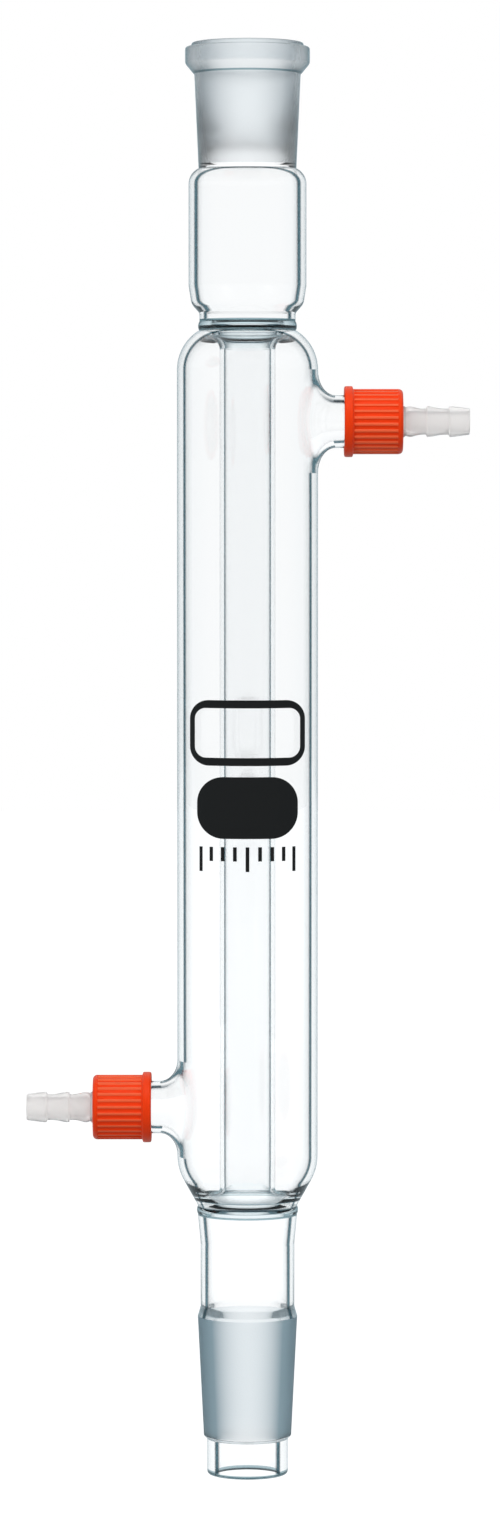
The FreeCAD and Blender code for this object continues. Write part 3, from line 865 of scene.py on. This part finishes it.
def floor_material():
    """Matt floor with a glow that makes it white. The glow is weaker under the object, which paints shade there
    and lets its shadow show.
    """
    material = bpy.data.materials.new("white_floor")
    material.use_nodes = True
    tree = material.node_tree
    tree.nodes.clear()
    matt = add_node(tree, "ShaderNodeBsdfDiffuse", Color=(FLOOR_ALBEDO,) * 3 + (1,))
    glow = tree.nodes.new("ShaderNodeEmission")
    tree.links.new(by_reflection(tree, WHITE, MIRRORED), glow.inputs["Color"])
    place = tree.nodes.new("ShaderNodeTexCoord")
    away = tree.nodes.new("ShaderNodeVectorMath")
    away.operation = "LENGTH"
    tree.links.new(place.outputs["Object"], away.inputs[0])
    rise = add_node(
        tree, "ShaderNodeMapRange",
        From_Min=FLOOR_RISE_START, From_Max=FLOOR_RISE_END, To_Min=FLOOR_GLOW_NEAR, To_Max=FLOOR_GLOW_FAR,
    )
    # Painted shade: the glow is weaker close under the object.
    under = add_node(
        tree, "ShaderNodeMapRange",
        From_Min=PAINTED_SHADE_START_R, From_Max=FLOOR_RISE_START, To_Min=PAINTED_SHADE_GLOW_SHARE, To_Max=1.0,
    )
    strength = seen_share(tree)
    for share in (rise, under):
        tree.links.new(away.outputs["Value"], share.inputs["Value"])
        strength = combined(tree, "MULTIPLY", strength, share.outputs["Result"])
    tree.links.new(strength, glow.inputs["Strength"])
    both = tree.nodes.new("ShaderNodeAddShader")
    tree.links.new(matt.outputs["BSDF"], both.inputs[0])
    tree.links.new(glow.outputs["Emission"], both.inputs[1])
    output = tree.nodes.new("ShaderNodeOutputMaterial")
    tree.links.new(both.outputs["Shader"], output.inputs["Surface"])
    return material


def make_floor():
    """Square floor under the object."""
    half = FLOOR_SIZE / 2
    data = bpy.data.meshes.new("floor")
    corners = [(-half, -half, FLOOR_Z), (half, -half, FLOOR_Z), (half, half, FLOOR_Z), (-half, half, FLOOR_Z)]
    data.from_pydata(corners, [], [(0, 1, 2, 3)])
    data.materials.append(floor_material())
    floor = bpy.data.objects.new("floor", data)
    bpy.context.scene.collection.objects.link(floor)


def make_world():
    """White surroundings. They are dark overhead through glass, and dim beside the object in reflections."""
    world = bpy.data.worlds.new("surroundings")
    bpy.context.scene.world = world
    world.use_nodes = True
    tree = world.node_tree
    tree.nodes.clear()
    place = tree.nodes.new("ShaderNodeTexCoord")
    parts = tree.nodes.new("ShaderNodeSeparateXYZ")
    tree.links.new(place.outputs["Generated"], parts.inputs["Vector"])
    through = by_height(tree, parts, THROUGH_HEIGHTS, WHITE, OVERHEAD)
    mirrored = by_height(tree, parts, MIRRORED_HEIGHTS, MIRRORED, WHITE)
    seen = add_node(tree, "ShaderNodeBackground", Strength=1.0)
    tree.links.new(by_reflection(tree, through, mirrored), seen.inputs["Color"])
    light = add_node(tree, "ShaderNodeBackground", Color=AMBIENT_COLOUR, Strength=AMBIENT)
    choice = tree.nodes.new("ShaderNodeMixShader")
    tree.links.new(seen_share(tree), choice.inputs["Fac"])
    tree.links.new(light.outputs["Background"], choice.inputs[1])
    tree.links.new(seen.outputs["Background"], choice.inputs[2])
    output = tree.nodes.new("ShaderNodeOutputWorld")
    tree.links.new(choice.outputs["Shader"], output.inputs["Surface"])


def aim(thing, target):
    """Turns a lamp or camera so that it looks at a point."""
    direction = np.array(target) - np.array(thing.location)
    azimuth = math.atan2(direction[0], direction[1])
    level = math.atan2(direction[2], math.hypot(direction[0], direction[1]))
    thing.rotation_euler = (math.pi / 2 + level, 0, -azimuth)


def add_lamp(name, location, size, power):
    """Soft rectangular lamp, aimed at the middle of the object and not seen itself."""
    data = bpy.data.lights.new(name, "AREA")
    data.shape = "RECTANGLE"
    data.size, data.size_y = size
    data.energy = power
    lamp = bpy.data.objects.new(name, data)
    lamp.location = location
    lamp.visible_camera = False
    lamp.visible_transmission = False
    lamp.visible_glossy = False
    bpy.context.scene.collection.objects.link(lamp)
    aim(lamp, LAMP_TARGET)


def make_camera():
    """Camera at the photograph's angle."""
    data = bpy.data.cameras.new("camera")
    data.sensor_width = SENSOR
    reach = math.hypot(CAMERA_DISTANCE, CAMERA_HEIGHT - TARGET_Z)
    data.lens = SENSOR * reach / VIEW_HEIGHT
    data.clip_end = CAMERA_CLIP_END
    camera = bpy.data.objects.new("camera", data)
    camera.location = (CAMERA_X, -CAMERA_DISTANCE, CAMERA_HEIGHT)
    bpy.context.scene.collection.objects.link(camera)
    aim(camera, (CAMERA_X, 0, TARGET_Z))
    bpy.context.scene.camera = camera


make_floor()
make_world()
for name, lamp in LAMPS.items():
    add_lamp(name, **lamp)
make_camera()
bpy.context.scene.view_settings.view_transform = "Standard"
